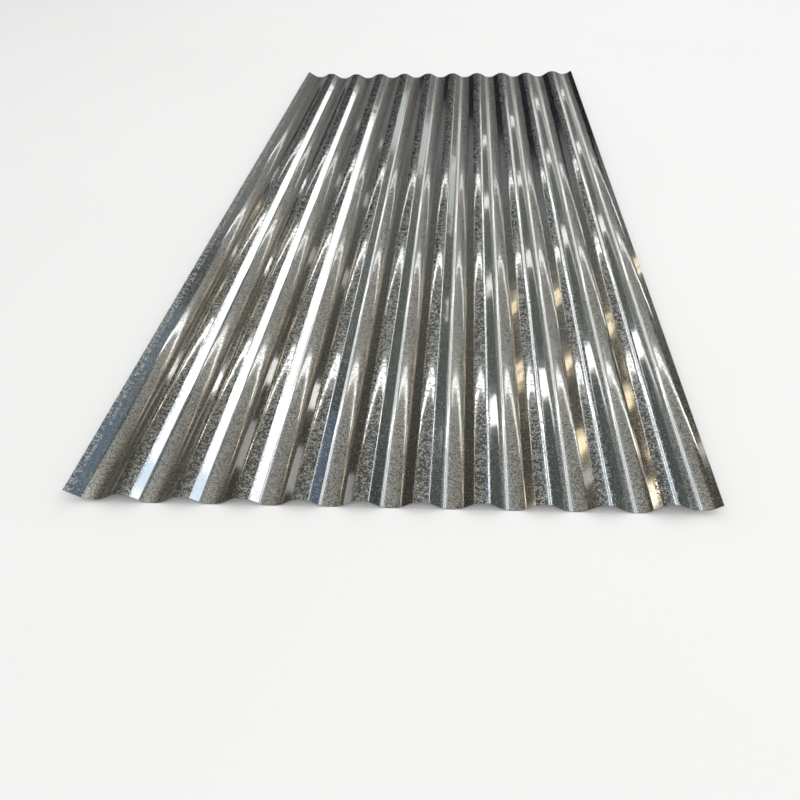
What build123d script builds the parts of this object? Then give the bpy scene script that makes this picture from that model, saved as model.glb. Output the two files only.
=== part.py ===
"""A corrugated roofing sheet of zinc-coated steel, lying flat with its waves running front to back.

The sheet is one rolled piece. X runs across the waves, Y along them and Z up. The origin is on the
floor, under the middle of the sheet's box. Lengths are in millimetres and angles in degrees.
"""

from build123d import *
from math import cos, radians, sin
import os

# The wave, measured on the middle line of the steel
PITCH = 76.2              # one whole wave, a valley to the next valley
FLANK_ANGLE = 29.0        # slope of the straight flank between a valley and a crest
VALLEY_RADIUS = 34.0      # a valley is one round bend
CROWN_RADIUS = 40.0       # a crest is flatter on top than a valley is below
CROWN_ANGLE = 13.0        # slope at which the crown ends
SHOULDER_RADIUS = 8.0     # and a tighter bend leads from the crown to the flank
VALLEYS = 11

# The sheet
THICKNESS = 0.6
LENGTH = 1829.0           # six feet

# The margins: beyond the last valley on each side the flank runs straight up to the slit edge
LEFT_MARGIN = 34.5        # valley 1 to the left edge, across
RIGHT_MARGIN = 22.5       # valley 11 to the right edge, across
LEFT_SPRING = 3.2         # how far the last wave on the left springs up, about valley 2
RIGHT_SPRING = 5.2        # and the last wave on the right, about valley 10

# Each flank's straight run is what the bends at its two ends leave of half a wave
SLOPE = radians(FLANK_ANGLE)
CROWN_SLOPE = radians(CROWN_ANGLE)
HALF_VALLEY = VALLEY_RADIUS * sin(SLOPE)
HALF_CREST = CROWN_RADIUS * sin(CROWN_SLOPE) + SHOULDER_RADIUS * (sin(SLOPE) - sin(CROWN_SLOPE))
FLANK_RUN = (PITCH / 2 - HALF_VALLEY - HALF_CREST) / cos(SLOPE)
LEFT_RUN = (LEFT_MARGIN - HALF_VALLEY) / cos(SLOPE)
RIGHT_RUN = (RIGHT_MARGIN - HALF_VALLEY) / cos(SLOPE)


def section_strokes() -> list[tuple[float, list[tuple[float, float]]]]:
    """The section from left to right: each straight run, and the radius and turn of the bends after it.

    A valley turns up and a crest turns down. The second valley from each side turns a little more,
    which lifts the margin beyond it.
    """
    shoulder = (SHOULDER_RADIUS, CROWN_ANGLE - FLANK_ANGLE)
    crest = [shoulder, (CROWN_RADIUS, -2 * CROWN_ANGLE), shoulder]
    springs = {2: LEFT_SPRING, VALLEYS - 1: RIGHT_SPRING}
    strokes = []
    for valley in range(1, VALLEYS + 1):
        run = LEFT_RUN if valley == 1 else FLANK_RUN
        strokes.append((run, [(VALLEY_RADIUS, 2 * FLANK_ANGLE + springs.get(valley, 0))]))
        if valley < VALLEYS:
            strokes.append((FLANK_RUN, crest))
    return strokes + [(RIGHT_RUN, [])]


def skin_line(height: float) -> list[Edge]:
    """The section's line at a height above the middle line, from the left edge to the right edge.

    Straight flanks and round bends follow each other, each tangent to the one before.
    """
    heading = -FLANK_ANGLE - LEFT_SPRING
    spot = Vector(-height * sin(radians(heading)), height * cos(radians(heading)))
    line = []
    for run, bends in section_strokes():
        line.append(PolarLine(spot, run, heading))
        for radius, turn in bends:
            reach = radius - height if turn > 0 else radius + height
            line.append(JernArc(line[-1] @ 1, line[-1] % 1, reach, turn))
            heading += turn
        spot = line[-1] @ 1
    return line


def sheet_profile() -> Face:
    """The sheet's section: the upper and lower skins, closed by a square cut at each slit edge."""
    upper = skin_line(THICKNESS / 2)
    lower = skin_line(-THICKNESS / 2)
    left_edge = Line(upper[0] @ 0, lower[0] @ 0)
    right_edge = Line(upper[-1] @ 1, lower[-1] @ 1)
    return make_face([*upper, right_edge, *lower, left_edge])


def corrugated_sheet() -> Solid:
    """The section drawn out along Y, with the sheet's box centred over the origin and on the floor."""
    sheet = extrude(Plane.XZ * sheet_profile(), LENGTH / 2, both=True)
    box = sheet.bounding_box()
    return Pos(-box.center().X, -box.center().Y, -box.min.Z) * sheet.solid()


def main() -> None:
    """Build the sheet and write it to its own file."""
    sheet = corrugated_sheet()
    sheet.label = "corrugated_sheet"
    os.makedirs("parts", exist_ok=True)
    export_step(sheet, "parts/corrugated_sheet.step")
    size = sheet.bounding_box().size
    flat_width = sheet.volume / (THICKNESS * LENGTH)
    print(f"flank run {FLANK_RUN:.2f}, flat width {flat_width:.1f}")
    print(f"box {size.X:.1f} x {size.Y:.1f} x {size.Z:.1f}")


main()
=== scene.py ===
"""Looks of a bright zinc-coated corrugated sheet that lies on a pale studio floor.

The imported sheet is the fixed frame. A finer mesh of the same section stands in for it, so that its
mirror-like zinc reflects the studio's lamps in clean lines. X runs across the waves, Y along them
and Z up. Lengths are in metres.
"""

import logging
from dataclasses import dataclass, field
from enum import Enum
from math import cos, pi, radians, sin

import bpy
from mathutils import Euler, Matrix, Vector, noise


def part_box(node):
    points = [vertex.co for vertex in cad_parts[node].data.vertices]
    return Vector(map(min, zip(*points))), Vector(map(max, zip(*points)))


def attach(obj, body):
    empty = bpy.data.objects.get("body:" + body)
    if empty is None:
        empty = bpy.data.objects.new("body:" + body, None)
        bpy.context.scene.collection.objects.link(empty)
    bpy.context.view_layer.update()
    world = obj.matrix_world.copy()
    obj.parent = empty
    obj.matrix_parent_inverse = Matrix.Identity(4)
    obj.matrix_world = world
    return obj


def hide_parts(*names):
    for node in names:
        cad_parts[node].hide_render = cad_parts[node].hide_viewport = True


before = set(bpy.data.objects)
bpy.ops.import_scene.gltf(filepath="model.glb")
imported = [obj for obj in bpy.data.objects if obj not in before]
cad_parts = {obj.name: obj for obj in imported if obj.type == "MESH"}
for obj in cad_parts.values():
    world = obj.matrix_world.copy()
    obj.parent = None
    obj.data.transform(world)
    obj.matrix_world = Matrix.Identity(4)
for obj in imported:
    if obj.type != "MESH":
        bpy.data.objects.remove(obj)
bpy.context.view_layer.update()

CAD_NODE = "corrugated_sheet"
LOG = logging.getLogger("corrugated_sheet")

# How a noise texture's values spread: few rise over the top, and few fall a span below it
NOISE_TOP = 0.66
NOISE_SPAN = 0.32

# How soft the outlines of the zinc's crystals and of their frosted grains are, as noise values
CRYSTAL_EDGE = 0.06
GRAIN_EDGE = 0.07

# The wave's cosine is 1 in a trough and -1 on a crest. Between these levels of it the trough's frost
# comes in, and between these the crest's flecks end.
TROUGH_EDGE = (0.20, 0.55)
CREST_EDGE = (-0.68, -0.42)

# Where the Mix node has its factor and two inputs, and its result, for numbers and for colours
MIX_NUMBERS = ((0, 2, 3), 0)
MIX_COLOURS = ((0, 6, 7), 2)

Pair = tuple[float, float]
Colour = tuple[float, float, float, float]
Faces = list[tuple[int, int, int, int]]
Section = list[tuple[float, float, float]]
Strokes = list[tuple[float, list[tuple[float, float]]]]
Stops = tuple[tuple[float, tuple[float, float, float]], ...]


class Skin(Enum):
    """The two faces of the steel, by the side of its middle line on which they lie."""

    UPPER = 1
    LOWER = -1


class Slot(Enum):
    """The mesh's material slots, in order."""

    COATED = 0
    CUT = 1


class Tone(Enum):
    """The lamps' colours, each with how bright the lamp looks."""

    ROW = (1.0, 0.99, 0.95, 2.9)
    ROW_END = (1.0, 0.95, 0.88, 0.55)
    RUN = (1.0, 0.99, 0.97, 1.4)
    POST = (1.0, 0.99, 0.96, 1.9)
    GLOW = (1.0, 0.98, 0.93, 1.1)
    FAINT = (1.0, 0.98, 0.93, 0.36)
    PANEL = (0.97, 1.0, 0.98, 0.50)
    DAYLIGHT = (0.74, 0.87, 1.0, 1.15)
    SKY = (0.46, 0.70, 1.0, 0.13)
    DUSK = (0.60, 0.80, 1.0, 0.11)
    WARM = (1.0, 0.80, 0.52, 1.5)


class Facing(Enum):
    """The way a lamp faces, as the turn about the waves' direction that takes it from facing down."""

    DOWN = 0.0
    LEFT = pi / 2
    RIGHT = -pi / 2


@dataclass
class NodeWriter:
    """A small writer of shader nodes: it makes nodes, sets their inputs and joins them."""

    tree: bpy.types.NodeTree

    def node(self, kind: str, inputs: dict | None = None, **settings: object) -> bpy.types.Node:
        """Make a node.

        Args:
            kind: The node's Blender type.
            inputs: Values or output sockets by input name or number.
            settings: Properties of the node itself.

        Returns:
            The new node.
        """
        made = self.tree.nodes.new(kind)
        for name, value in settings.items():
            setattr(made, name, value)
        for name, value in (inputs or {}).items():
            self.feed(made.inputs[name], value)
        return made

    def feed(self, socket: bpy.types.NodeSocket, value: object) -> None:
        """Give an input its value, or its link.

        Args:
            socket: The input.
            value: A plain value, or the output socket to link.
        """
        if isinstance(value, bpy.types.NodeSocket):
            self.tree.links.new(value, socket)
        else:
            socket.default_value = value

    def math(self, operation: str, *values: object) -> bpy.types.NodeSocket:
        """Work out one sum.

        Args:
            operation: The Math node's operation.
            values: Its inputs, numbers or sockets.

        Returns:
            The node's output socket.
        """
        return self.node("ShaderNodeMath", dict(enumerate(values)), operation=operation).outputs[0]

    def short_side(self, long_squared: float, other: object) -> bpy.types.NodeSocket:
        """Find a short side of a right triangle.

        Args:
            long_squared: Its long side, squared.
            other: Its other short side, a socket.

        Returns:
            The side's socket.
        """
        squared = self.math("MULTIPLY", other, other)
        return self.math("SQRT", self.math("SUBTRACT", long_squared, squared))

    def noise(self, place: object, scale: object, **inputs: float) -> bpy.types.NodeSocket:
        """Read a noise texture.

        Args:
            place: The position's socket.
            scale: How many blotches lie in a metre, a number or a socket.
            inputs: The texture's other inputs by name.

        Returns:
            The noise's socket.
        """
        return self.node("ShaderNodeTexNoise", {"Vector": place, "Scale": scale, **inputs}).outputs[0]

    def step(self, value: object, low: float, high: float, to_low: float = 0.0,
             to_high: float = 1.0) -> bpy.types.NodeSocket:
        """Make a smooth step between two levels.

        Args:
            value: The socket to read.
            low: Where the step starts.
            high: Where the step ends.
            to_low: The result up to low.
            to_high: The result from high on.

        Returns:
            The stepped socket.
        """
        inputs = {"Value": value, "From Min": low, "From Max": high, "To Min": to_low, "To Max": to_high}
        return self.node("ShaderNodeMapRange", inputs, interpolation_type="SMOOTHSTEP").outputs["Result"]

    def cover(self, noisy: object, share: object, edge: float) -> bpy.types.NodeSocket:
        """Mask the part of a noise that covers a given share of the surface.

        Args:
            noisy: The noise's socket.
            share: The share to cover, a number or a socket.
            edge: How soft the mask's outline is.

        Returns:
            The mask's socket.
        """
        line = self.math("MULTIPLY_ADD", share, -NOISE_SPAN, NOISE_TOP)
        return self.step(self.math("SUBTRACT", noisy, line), -edge, edge)

    def blend(self, factor: object, first: object, second: object) -> bpy.types.NodeSocket:
        """Blend two numbers.

        Args:
            factor: How much of the second number.
            first: The first number or socket.
            second: The second number or socket.

        Returns:
            The blended socket.
        """
        places, result = MIX_NUMBERS
        inputs = dict(zip(places, (factor, first, second)))
        return self.node("ShaderNodeMix", inputs).outputs[result]

    def mix(self, factor: object, first: object, second: object) -> bpy.types.NodeSocket:
        """Mix two colours.

        Args:
            factor: How much of the second colour, a number or a socket.
            first: The first colour, a value or a socket.
            second: The second colour.

        Returns:
            The mixed colour's socket.
        """
        places, result = MIX_COLOURS
        inputs = dict(zip(places, (factor, first, second)))
        return self.node("ShaderNodeMix", inputs, data_type="RGBA").outputs[result]

    def ramp(self, value: object, stops: Stops) -> bpy.types.NodeSocket:
        """Read a colour off a ramp that runs from -1 to 1.

        Args:
            value: The socket to read.
            stops: Each stop's place, from 0 to 1 along the ramp, and its colour, in order.

        Returns:
            The colour's socket.
        """
        made = self.node("ShaderNodeValToRGB", {0: self.math("MULTIPLY_ADD", value, 0.5, 0.5)})
        stock = made.color_ramp.elements
        while len(stock) < len(stops):
            stock.new(1.0)
        for element, (place, colour) in zip(stock, stops):
            element.position = place
            element.color = (*colour, 1.0)
        return made.outputs[0]


def start_group(name: str, inputs: dict[str, float], outputs: list[str]) -> bpy.types.NodeTree:
    """Start a shader node group that works on a position.

    Args:
        name: The group's name.
        inputs: Its number inputs and their usual values.
        outputs: Its number outputs.

    Returns:
        The group's tree, with its input and output nodes in place.
    """
    tree = bpy.data.node_groups.new(name, "ShaderNodeTree")
    tree.interface.new_socket("Position", in_out="INPUT", socket_type="NodeSocketVector")
    for label, value in inputs.items():
        socket = tree.interface.new_socket(label, in_out="INPUT", socket_type="NodeSocketFloat")
        socket.default_value = value
    for label in outputs:
        tree.interface.new_socket(label, in_out="OUTPUT", socket_type="NodeSocketFloat")
    tree.nodes.new("NodeGroupInput")
    tree.nodes.new("NodeGroupOutput")
    return tree


def spangle_group() -> bpy.types.NodeTree:
    """Write the zinc's spangle: crystals of which each is frosted over more or less of its face.

    Returns:
        A group that puts out a mask of the frosted grains.
    """
    tree = start_group("zinc_spangle", {"Crystal Size": 0.004, "Grain Size": 0.0008, "Cover": 0.5,
                                        "Least Frost": 0.05, "Most Frost": 0.4}, ["Frost"])
    write = NodeWriter(tree)
    read, leave = tree.nodes["Group Input"].outputs, tree.nodes["Group Output"]
    crystals = write.noise(read["Position"], write.math("DIVIDE", 1.0, read["Crystal Size"]),
                           Detail=2.0, Roughness=0.6, Distortion=0.4)
    crystal = write.cover(crystals, read["Cover"], CRYSTAL_EDGE)
    share = write.blend(crystal, read["Least Frost"], read["Most Frost"])
    grains = write.noise(read["Position"], write.math("DIVIDE", 1.0, read["Grain Size"]), Detail=1.0)
    write.feed(leave.inputs["Frost"], write.cover(grains, share, GRAIN_EDGE))
    return tree


def wave_group() -> bpy.types.NodeTree:
    """Write where the sheet's troughs and crests lie. The flanks between them stay clean and bright.

    Returns:
        A group that puts out two masks, 1 along the troughs and 1 along the crests.
    """
    tree = start_group("wave_zones", {"Pitch": 0.0762, "Trough Place": 0.0, "Patches": 9.0,
                                      "Unevenness": 0.3}, ["Trough", "Crest"])
    write = NodeWriter(tree)
    read, leave = tree.nodes["Group Input"].outputs, tree.nodes["Group Output"]
    across = write.node("ShaderNodeSeparateXYZ", {0: read["Position"]}).outputs["X"]
    turns = write.math("DIVIDE", write.math("SUBTRACT", across, read["Trough Place"]), read["Pitch"])
    wave = write.math("COSINE", write.math("MULTIPLY", turns, 2 * pi))
    patches = write.noise(read["Position"], read["Patches"], Detail=3.0)
    sway = write.math("MULTIPLY", write.math("SUBTRACT", patches, 0.5), read["Unevenness"])
    uneven = write.math("ADD", wave, sway)
    write.feed(leave.inputs["Trough"], write.step(uneven, *TROUGH_EDGE))
    write.feed(leave.inputs["Crest"], write.step(uneven, *CREST_EDGE, 1.0, 0.0))
    return tree


def start_material(name: str) -> tuple[bpy.types.Material, NodeWriter, bpy.types.Node]:
    """Start a material with one Principled shader.

    Args:
        name: The material's name.

    Returns:
        The material, the writer of its nodes and its shader.
    """
    material = bpy.data.materials.new(name)
    material.use_nodes = True
    return material, NodeWriter(material.node_tree), material.node_tree.nodes["Principled BSDF"]


@dataclass(frozen=True)
class Spangle:
    """How one part of the wave is frosted.

    Its crystals' and grains' sizes, the share of frosted crystals, the least and the most that a
    crystal is frosted, and the frost's colour.
    """

    crystal: float
    grain: float
    cover: float
    least: float
    most: float
    frosted: Colour


@dataclass(frozen=True)
class ZincFinish:
    """Bright hot-dip zinc: flecks on the crests, clean flanks and a dense fine frost in the troughs."""

    zinc: Colour = (0.77, 0.79, 0.80, 1.0)
    crest: Spangle = Spangle(0.0046, 0.0018, 0.46, 0.08, 0.68, (0.60, 0.61, 0.59, 1.0))
    flank: Spangle = Spangle(0.0050, 0.0010, 0.30, 0.0, 0.18, (0.68, 0.69, 0.68, 1.0))
    trough: Spangle = Spangle(0.0030, 0.00065, 0.55, 0.36, 0.68, (0.69, 0.675, 0.63, 1.0))
    mirror_roughness: float = 0.06
    frost_roughness: float = 0.36
    dent_scale: float = 14.0
    dent_height: float = 0.00026

    def material(self, groups: dict[str, bpy.types.NodeTree], pitch: float,
                 trough: float) -> bpy.types.Material:
        """Build the finish.

        Args:
            groups: The shader node groups by name.
            pitch: The sheet's wave pitch.
            trough: Where a trough's middle lies, across the sheet.

        Returns:
            The new material.
        """
        material, write, shader = start_material("zinc_coating")
        place = write.node("ShaderNodeTexCoord").outputs["Object"]
        zones = write.node("ShaderNodeGroup", {"Position": place, "Pitch": pitch, "Trough Place": trough},
                           node_tree=groups["wave"]).outputs
        frosts = []
        for part in (self.crest, self.flank, self.trough):
            inputs = {"Position": place, "Crystal Size": part.crystal, "Grain Size": part.grain,
                      "Cover": part.cover, "Least Frost": part.least, "Most Frost": part.most}
            group = write.node("ShaderNodeGroup", inputs, node_tree=groups["spangle"])
            frosts.append(group.outputs["Frost"])
        crest, flank, bed = frosts
        frost = write.blend(zones["Trough"], write.blend(zones["Crest"], flank, crest), bed)
        raised = write.mix(zones["Crest"], self.flank.frosted, self.crest.frosted)
        frosted = write.mix(zones["Trough"], raised, self.trough.frosted)
        write.feed(shader.inputs["Base Color"], write.mix(frost, self.zinc, frosted))
        roughness = write.blend(frost, self.mirror_roughness, self.frost_roughness)
        write.feed(shader.inputs["Roughness"], roughness)
        shader.inputs["Metallic"].default_value = 1.0
        relief = write.math("MULTIPLY", write.noise(place, self.dent_scale, Detail=2.0), self.dent_height)
        bump = write.node("ShaderNodeBump", {"Height": relief, "Strength": 1.0, "Distance": 1.0})
        write.feed(shader.inputs["Normal"], bump.outputs[0])
        return material


@dataclass(frozen=True)
class CutFinish:
    """A sheared edge: dull steel under a smear of zinc, with a little rust.

    Roughness and metallic are given as the steel's value and the rust's.
    """

    steel: Colour = (0.13, 0.13, 0.14, 1.0)
    rust: Colour = (0.19, 0.09, 0.04, 1.0)
    roughness: Pair = (0.4, 0.75)
    metallic: Pair = (0.9, 0.2)
    spot_size: float = 0.02
    rust_cover: float = 0.42

    def material(self, groups: dict[str, bpy.types.NodeTree]) -> bpy.types.Material:
        """Build the finish.

        Args:
            groups: The shader node groups by name.

        Returns:
            The new material.
        """
        material, write, shader = start_material("cut_steel")
        place = write.node("ShaderNodeTexCoord").outputs["Object"]
        spots = write.node("ShaderNodeGroup", {"Position": place, "Crystal Size": self.spot_size,
                                               "Cover": self.rust_cover}, node_tree=groups["spangle"])
        rusty = spots.outputs["Frost"]
        write.feed(shader.inputs["Base Color"], write.mix(rusty, self.steel, self.rust))
        write.feed(shader.inputs["Roughness"], write.blend(rusty, *self.roughness))
        write.feed(shader.inputs["Metallic"], write.blend(rusty, *self.metallic))
        return material


@dataclass(frozen=True)
class FloorFinish:
    """A pale matt floor, very slightly uneven in tone."""

    pale: Colour = (0.84, 0.84, 0.84, 1.0)
    paler: Colour = (0.88, 0.88, 0.88, 1.0)
    tone_scale: float = 1.3
    roughness: float = 0.9
    shine: float = 0.1

    def material(self) -> bpy.types.Material:
        """Build the finish.

        Returns:
            The new material.
        """
        material, write, shader = start_material("pale_floor")
        place = write.node("ShaderNodeTexCoord").outputs["Object"]
        tone = write.noise(place, self.tone_scale, Detail=3.0)
        write.feed(shader.inputs["Base Color"], write.mix(tone, self.pale, self.paler))
        shader.inputs["Roughness"].default_value = self.roughness
        shader.inputs["Specular IOR Level"].default_value = self.shine
        return material


@dataclass(frozen=True)
class Swell:
    """Slow unevenness of the steel: its length across and along, its seed and how high it rises."""

    across: float
    along: float
    seed: float
    height: float

    def rise(self, x: float, y: float) -> float:
        """Find the rise at a place on the sheet, from steady noise."""
        return self.height * noise.noise(Vector((x / self.across, y / self.along, self.seed)))


@dataclass
class CorrugatedSheet:
    """The sheet: tangent bends and straight flanks across it, and slight waviness along it."""

    pitch: float = 0.0762
    flank_angle: float = radians(29.0)
    valley_radius: float = 0.034
    crown_radius: float = 0.040
    crown_angle: float = radians(13.0)
    shoulder_radius: float = 0.008
    valleys: int = 11
    thickness: float = 0.0006
    left_margin: float = 0.0345
    right_margin: float = 0.0225
    left_spring: float = radians(3.2)
    right_spring: float = radians(5.2)
    bend_step: float = radians(6.0)
    least_bend_steps: int = 3
    flank_steps: int = 2
    length_steps: int = 92
    swells: tuple[Swell, ...] = (Swell(0.16, 0.42, 3.7, 0.00042), Swell(0.05, 0.17, 8.1, 0.00010))
    lean_reach: float = 0.001
    piece: bpy.types.Object = field(init=False)

    def strokes(self) -> Strokes:
        """List the section's strokes from left to right.

        The second valley from each side turns a little more, which lifts the margin beyond it.

        Returns:
            Each straight run, and the radius and turn of the bends after it.
        """
        half_valley = self.valley_radius * sin(self.flank_angle)
        half_crest = (self.crown_radius * sin(self.crown_angle)
                      + self.shoulder_radius * (sin(self.flank_angle) - sin(self.crown_angle)))
        flank = (self.pitch / 2 - half_valley - half_crest) / cos(self.flank_angle)
        left = (self.left_margin - half_valley) / cos(self.flank_angle)
        right = (self.right_margin - half_valley) / cos(self.flank_angle)
        shoulder = (self.shoulder_radius, self.crown_angle - self.flank_angle)
        crest = [shoulder, (self.crown_radius, -2 * self.crown_angle), shoulder]
        springs = {2: self.left_spring, self.valleys - 1: self.right_spring}
        strokes = []
        for valley in range(1, self.valleys + 1):
            turn = 2 * self.flank_angle + springs.get(valley, 0.0)
            strokes.append((left if valley == 1 else flank, [(self.valley_radius, turn)]))
            if valley < self.valleys:
                strokes.append((flank, crest))
        return strokes + [(right, [])]

    def middle_line(self) -> Section:
        """Walk the section's middle line.

        Returns:
            Points as across, up and heading, from the left slit edge to the right one.
        """
        x, z, heading = 0.0, 0.0, -self.flank_angle - self.left_spring
        line = [(x, z, heading)]
        for run, bends in self.strokes():
            for _ in range(self.flank_steps):
                x += cos(heading) * run / self.flank_steps
                z += sin(heading) * run / self.flank_steps
                line.append((x, z, heading))
            for radius, turn in bends:
                count = max(self.least_bend_steps, round(abs(turn) / self.bend_step))
                step = turn / count
                chord = 2 * radius * sin(abs(step) / 2)
                for _ in range(count):
                    x += cos(heading + step / 2) * chord
                    z += sin(heading + step / 2) * chord
                    heading += step
                    line.append((x, z, heading))
        return line

    def skin_line(self, skin: Skin) -> Section:
        """Find one skin's section, seated on the floor and centred as the CAD node is.

        Args:
            skin: Which skin.

        Returns:
            Points as across, up and heading.
        """
        half = self.thickness / 2
        line = self.middle_line()
        low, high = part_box(CAD_NODE)
        lowest = min(z for _, z, _ in line) - half
        ends = [x - side.value * half * sin(heading)
                for x, _, heading in (line[0], line[-1]) for side in Skin]
        shift = (low.x + high.x) / 2 - (min(ends) + max(ends)) / 2
        offset = skin.value * half
        return [(x - offset * sin(heading) + shift, z + offset * cos(heading) - lowest, heading)
                for x, z, heading in line]

    def trough_middle(self) -> float:
        """Find the middle trough's lowest point, across the sheet."""
        near = [point for point in self.skin_line(Skin.LOWER) if abs(point[0]) < self.pitch / 2]
        return min(near, key=lambda point: point[1])[0]

    def waviness(self, x: float, y: float) -> float:
        """Find how far the steel stands above its true section, at a place across and along it."""
        return sum(swell.rise(x, y) for swell in self.swells)

    def skin_points(self, skin: Skin, stations: list[float]) -> tuple[list[tuple], list[Vector]]:
        """Lay out one skin.

        Args:
            skin: Which skin.
            stations: The places along the sheet at which its section is laid out.

        Returns:
            The skin's points and its normals there, one station after another.
        """
        points, normals = [], []
        section = self.skin_line(skin)
        for y in stations:
            for x, z, heading in section:
                rise = self.waviness(x, y)
                lean_across = (self.waviness(x + self.lean_reach, y) - rise) / self.lean_reach
                lean_along = (self.waviness(x, y + self.lean_reach) - rise) / self.lean_reach
                points.append((x, y, max(z + rise, 0.0)))
                slope = heading + lean_across
                normal = Vector((-sin(slope), -lean_along * cos(heading), cos(slope)))
                normals.append(normal.normalized() * skin.value)
        return points, normals

    def skin_faces(self, count: int, rows: int) -> Faces:
        """Join both skins' points into faces.

        Args:
            count: How many points a section has.
            rows: How many sections a skin has.

        Returns:
            Each face's four points.
        """
        under = rows * count
        faces = []
        for start in range(0, under - count, count):
            for a in range(start, start + count - 1):
                faces.append((a, a + 1, a + count + 1, a + count))
                faces.append((under + a, under + a + count, under + a + count + 1, under + a + 1))
        return faces

    def cut_faces(self, count: int, rows: int) -> Faces:
        """Close the steel between its skins, along the slit edges and then the cut ends.

        Args:
            count: How many points a section has.
            rows: How many sections a skin has.

        Returns:
            Each face's four points.
        """
        under = rows * count
        last = under - count
        left = [(a, a + count, under + a + count, under + a) for a in range(0, last, count)]
        right = [(a, under + a, under + a + count, a + count) for a in range(count - 1, last, count)]
        front = [(a, under + a, under + a + 1, a + 1) for a in range(count - 1)]
        back = [(a, a + 1, under + a + 1, under + a) for a in range(last, under - 1)]
        return left + right + front + back

    def build(self) -> None:
        """Make the mesh of both skins and the cut faces round their edge, and hang it in the frame."""
        low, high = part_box(CAD_NODE)
        rows = self.length_steps + 1
        stations = [low.y + (high.y - low.y) * i / self.length_steps for i in range(rows)]
        (upper, upper_normals), (lower, lower_normals) = (self.skin_points(skin, stations) for skin in Skin)
        normals = upper_normals + lower_normals
        count = len(upper) // rows
        coated, cut = self.skin_faces(count, rows), self.cut_faces(count, rows)

        mesh = bpy.data.meshes.new("galvanised_sheet")
        mesh.from_pydata(upper + lower, [], coated + cut)
        slots = [Slot.COATED.value] * len(coated) + [Slot.CUT.value] * len(cut)
        mesh.polygons.foreach_set("material_index", slots)
        mesh.polygons.foreach_set("use_smooth", [True] * len(slots))
        mesh.update()
        corners = []
        for face in mesh.polygons:
            if face.material_index == Slot.COATED.value:
                corners += [normals[corner] for corner in face.vertices]
            else:
                corners += [face.normal.copy()] * len(face.vertices)
        mesh.normals_split_custom_set(corners)

        self.piece = bpy.data.objects.new("galvanised_sheet", mesh)
        bpy.context.scene.collection.objects.link(self.piece)
        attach(self.piece, "root")
        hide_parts(CAD_NODE)

    def dress(self, coating: ZincFinish, cut: CutFinish, groups: dict[str, bpy.types.NodeTree]) -> None:
        """Give the skins and the cut faces their finishes."""
        self.piece.data.materials.append(coating.material(groups, self.pitch, self.trough_middle()))
        self.piece.data.materials.append(cut.material(groups))


@dataclass(frozen=True)
class PostRow:
    """A row of upright side lamps: its wall, heights, shift along from the bays, way and brightness."""

    name: str
    wall: float
    heights: Pair
    shift: float
    facing: Facing
    near: Tone
    far: Tone


@dataclass(frozen=True)
class Room:
    """The dim room that the metal reflects, as colours by the way in which one looks.

    Low down, a ramp runs from the left wall to the right one, and overhead another does. Behind,
    towards -Y, the room is plain. Each edge is a pair of levels of the way's Z or Y between which
    one part gives way to the next. The least level and the hair keep the divisions clear of nought.
    """

    walls: Stops = (
        (0.000, (0.070, 0.074, 0.070)), (0.080, (0.055, 0.055, 0.048)), (0.150, (0.042, 0.036, 0.027)),
        (0.240, (0.080, 0.076, 0.065)), (0.330, (0.120, 0.122, 0.117)), (0.338, (0.160, 0.172, 0.168)),
        (0.362, (0.120, 0.128, 0.126)), (0.366, (0.006, 0.006, 0.010)), (0.440, (0.012, 0.012, 0.016)),
        (0.500, (0.040, 0.042, 0.042)), (0.600, (0.165, 0.170, 0.158)), (0.720, (0.105, 0.115, 0.104)),
        (0.850, (0.075, 0.088, 0.082)), (1.000, (0.050, 0.062, 0.057)))
    ceiling: Stops = (
        (0.00, (0.070, 0.066, 0.055)), (0.12, (0.060, 0.053, 0.040)), (0.22, (0.070, 0.064, 0.050)),
        (0.34, (0.095, 0.092, 0.080)), (0.60, (0.092, 0.092, 0.084)), (0.74, (0.060, 0.066, 0.066)),
        (0.84, (0.040, 0.046, 0.048)), (0.94, (0.060, 0.070, 0.066)), (1.00, (0.080, 0.086, 0.078)))
    ceiling_edge: Pair = (0.42, 0.50)
    behind: Colour = (0.12, 0.12, 0.12, 1.0)
    behind_edge: Pair = (-0.1, 0.2)
    least_level: float = 0.01
    hair: float = 0.001
    air: Colour = (0.78, 0.78, 0.78, 1.0)

    def build(self) -> None:
        """Light the floor evenly with the air, and give the metal the room to reflect."""
        world = bpy.data.worlds.new("studio_air")
        bpy.context.scene.world = world
        world.use_nodes = True
        write = NodeWriter(world.node_tree)
        way = write.node("ShaderNodeTexCoord").outputs["Generated"]
        x, y, z = write.node("ShaderNodeSeparateXYZ", {0: way}).outputs
        level = write.math("MAXIMUM", write.short_side(1.0, z), self.least_level)
        walls = write.ramp(write.math("DIVIDE", x, level), self.walls)
        upright = write.short_side(1.0 + self.hair, y)
        ceiling = write.ramp(write.math("DIVIDE", x, upright), self.ceiling)
        ahead = write.mix(write.step(z, *self.ceiling_edge), walls, ceiling)
        room = write.mix(write.step(y, *self.behind_edge, 1.0, 0.0), ahead, self.behind)
        glossy = write.node("ShaderNodeLightPath").outputs["Is Glossy Ray"]
        background = world.node_tree.nodes["Background"]
        write.feed(background.inputs["Color"], write.mix(glossy, self.air, room))


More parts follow.
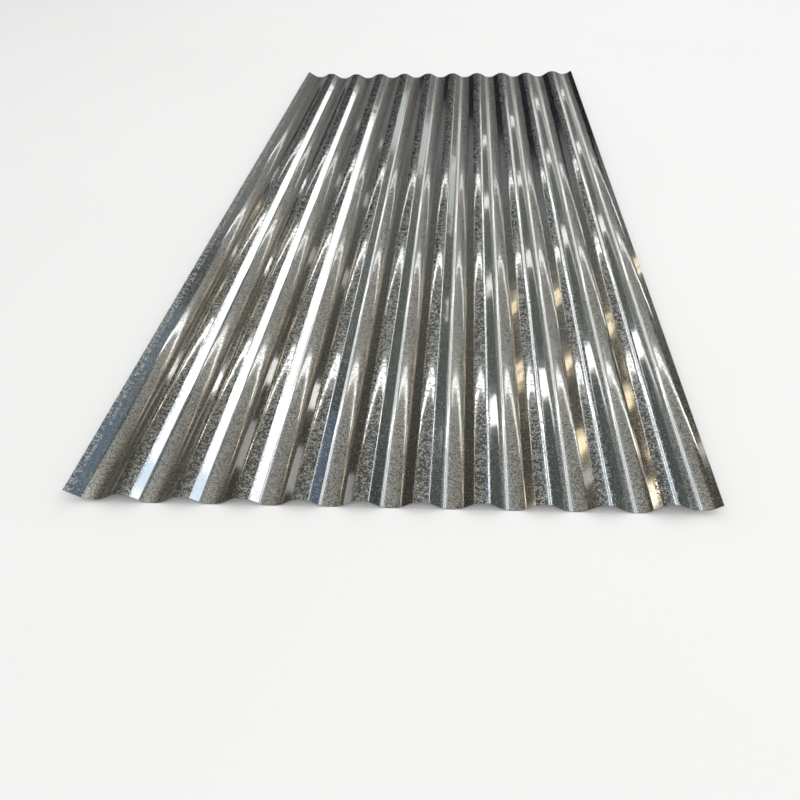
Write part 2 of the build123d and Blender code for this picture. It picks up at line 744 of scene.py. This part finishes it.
@dataclass
class Studio:
    """A pale floor, with strip lamps overhead and at both sides for the metal to reflect.

    A strip's pairs are its edges, across the waves or along them. A post's pair is its heights, and
    a spot's pair is its place. The lamps hang in bays: a row across the sheet starts each bay, and
    the two runs along the sheet fill it.
    """

    floor_size: float = 60.0
    ceiling: float = 2.6
    bay: float = 1.78
    first_bay: float = 0.93
    bays: tuple[int, int] = (-6, 5)
    row_width: float = 0.22
    row_ends: tuple[Pair, Pair] = ((-1.90, 0.82), (1.20, 1.95))
    row_tail: Pair = (-3.30, -1.90)
    near_row: int = 1
    last_row: int = 3
    runs: tuple[Pair, Pair] = ((1.22, 1.52), (1.66, 1.95))
    run_joint: float = 0.06
    run_drop: float = 0.02
    daylight: Pair = (1.58, 1.84)
    panel: tuple[Pair, Pair] = ((2.1, 4.0), (9.5, 12.0))
    skies: tuple[tuple[str, Pair, Pair, Tone], ...] = (
        ("sky_left", (0.82, 1.20), (0.4, 2.1), Tone.SKY),
        ("dusk_left", (0.82, 1.20), (2.1, 3.3), Tone.DUSK),
        ("sky_right", (2.15, 2.55), (0.4, 3.3), Tone.SKY))
    sky_drop: float = 0.01
    posts: tuple[PostRow, PostRow] = (
        PostRow("left", -3.05, (0.02, 0.90), 0.15, Facing.RIGHT, Tone.GLOW, Tone.FAINT),
        PostRow("right", 2.57, (0.45, 1.72), -0.12, Facing.LEFT, Tone.POST, Tone.GLOW))
    post_width: float = 0.30
    post_bays: tuple[int, int] = (0, 5)
    faint_post: Pair = (0.25, 1.15)
    faint_place: Pair = (-3.05, 2.05)
    faint_width: float = 0.42
    warm_spots: tuple[Pair, ...] = (
        (-3.00, 4.70), (-3.00, 6.10), (-2.35, 3.05), (-2.35, 4.20), (-2.35, 5.42),
        (-2.70, 2.72), (-2.70, 3.90), (-2.70, 5.15), (-2.03, 5.45))
    warm_size: Pair = (0.40, 0.24)
    warm_drop: float = 0.04
    floor: bpy.types.Object = field(init=False)

    def build_floor(self, finish: FloorFinish) -> None:
        """Lay the floor.

        Args:
            finish: What it is made of.
        """
        half = self.floor_size / 2
        mesh = bpy.data.meshes.new("floor")
        mesh.from_pydata([(-half, -half, 0), (half, -half, 0), (half, half, 0), (-half, half, 0)], [],
                         [(0, 1, 2, 3)])
        mesh.materials.append(finish.material())
        self.floor = bpy.data.objects.new("floor", mesh)
        bpy.context.scene.collection.objects.link(self.floor)

    def lamp(self, name: str, place: tuple[float, float, float], size: Pair, tone: Tone,
             facing: Facing = Facing.DOWN) -> bpy.types.Object:
        """Hang one soft lamp.

        Args:
            name: The lamp's name.
            place: Its middle.
            size: Its size across the waves, or up where it faces sideways, and along them.
            tone: Its colour and brightness.
            facing: The way it shines.

        Returns:
            The new lamp.
        """
        *colour, radiance = tone.value
        data = bpy.data.lights.new(name, "AREA")
        data.shape = "RECTANGLE"
        data.size, data.size_y = size
        data.energy = radiance * pi * size[0] * size[1]
        data.color = colour
        lamp = bpy.data.objects.new(name, data)
        lamp.location = place
        lamp.rotation_euler = (0.0, facing.value, 0.0)
        lamp.visible_camera = False
        bpy.context.scene.collection.objects.link(lamp)
        return lamp

    def strip(self, name: str, across: Pair, along: Pair, tone: Tone, drop: float = 0.0) -> None:
        """Hang one strip under the ceiling, by its edges and how far it drops below the rows."""
        middle = (sum(across) / 2, sum(along) / 2, self.ceiling - drop)
        self.lamp(name, middle, (across[1] - across[0], along[1] - along[0]), tone)

    def build_overhead(self) -> None:
        """Hang the rows across the sheet, the runs along it, and the daylight between them."""
        for number in range(*self.bays):
            y = self.first_bay + number * self.bay
            width = (y - self.row_width / 2, y + self.row_width / 2)
            if number <= self.last_row:
                for ends in self.row_ends:
                    self.strip(f"row_{number}", ends, width, Tone.ROW)
            if number == self.near_row:
                self.strip("row_tail", self.row_tail, width, Tone.ROW_END)
            start, end = y + self.run_joint / 2, y + self.bay - self.run_joint / 2
            for side, run in enumerate(self.runs):
                first = start
                if number == 0:
                    first, near = self.daylight[1], (start, self.daylight[0])
                    self.strip(f"run_daylight_{side}", run, self.daylight, Tone.DAYLIGHT, self.run_drop)
                    self.strip(f"run_near_{side}", run, near, Tone.RUN, self.run_drop)
                self.strip(f"run_{side}_{number}", run, (first, end), Tone.RUN, self.run_drop)
        self.strip("panel", *self.panel, Tone.PANEL)
        for name, across, along, tone in self.skies:
            self.strip(name, across, along, tone, self.sky_drop)

    def build_sides(self) -> None:
        """Stand the side lamps and hang the warm ones. They only show as reflections."""
        lamps = []
        for number in range(*self.post_bays):
            y = self.first_bay + number * self.bay
            for post in self.posts:
                low, high = post.heights
                place = (post.wall, y + post.shift, (low + high) / 2)
                tone = post.near if number <= self.near_row else post.far
                lamps.append(self.lamp(f"post_{post.name}_{number}", place, (high - low, self.post_width),
                                       tone, post.facing))
        low, high = self.faint_post
        lamps.append(self.lamp("post_faint", (*self.faint_place, (low + high) / 2),
                               (high - low, self.faint_width), Tone.FAINT, Facing.RIGHT))
        for number, (x, y) in enumerate(self.warm_spots):
            place = (x, y, self.ceiling - self.warm_drop)
            lamps.append(self.lamp(f"warm_{number}", place, self.warm_size, Tone.WARM))
            lamps[-1].data.shape = "ELLIPSE"
        for lamp in lamps:
            lamp.visible_diffuse = False


@dataclass
class PhotoCamera:
    """The photograph's view, solved from the sheet's edges and waves in its 800 by 800 frame."""

    frame_width: float = 800.0
    focal_pixels: float = 745.0
    centre_pixel_x: float = 425.0
    sensor_width: float = 36.0
    place: tuple[float, float, float] = (0.0961, -1.5500, 0.6919)
    turn: tuple[float, float, float] = (radians(50.945), radians(1.340), radians(2.874))

    def build(self) -> None:
        """Set the camera up and make it the scene's."""
        data = bpy.data.cameras.new("photo_camera")
        data.sensor_width = self.sensor_width
        data.lens = self.focal_pixels / self.frame_width * self.sensor_width
        data.shift_x = (self.frame_width / 2 - self.centre_pixel_x) / self.frame_width
        camera = bpy.data.objects.new("photo_camera", data)
        camera.location = self.place
        camera.rotation_euler = Euler(self.turn, "XYZ")
        bpy.context.scene.collection.objects.link(camera)
        bpy.context.scene.camera = camera


def main() -> None:
    """Build the sheet, the studio and the camera, and report each piece."""
    logging.basicConfig(level=logging.INFO, format="%(message)s")
    groups = {"spangle": spangle_group(), "wave": wave_group()}
    sheet = CorrugatedSheet()
    sheet.build()
    sheet.dress(ZincFinish(), CutFinish(), groups)
    LOG.info("%s: %d faces", sheet.piece.name, len(sheet.piece.data.polygons))
    studio = Studio()
    studio.build_floor(FloorFinish())
    LOG.info("%s: %.0f m wide", studio.floor.name, studio.floor_size)
    studio.build_overhead()
    studio.build_sides()
    Room().build()
    PhotoCamera().build()
    bpy.context.scene.view_settings.view_transform = "Standard"


if __name__ == "__main__":
    main()
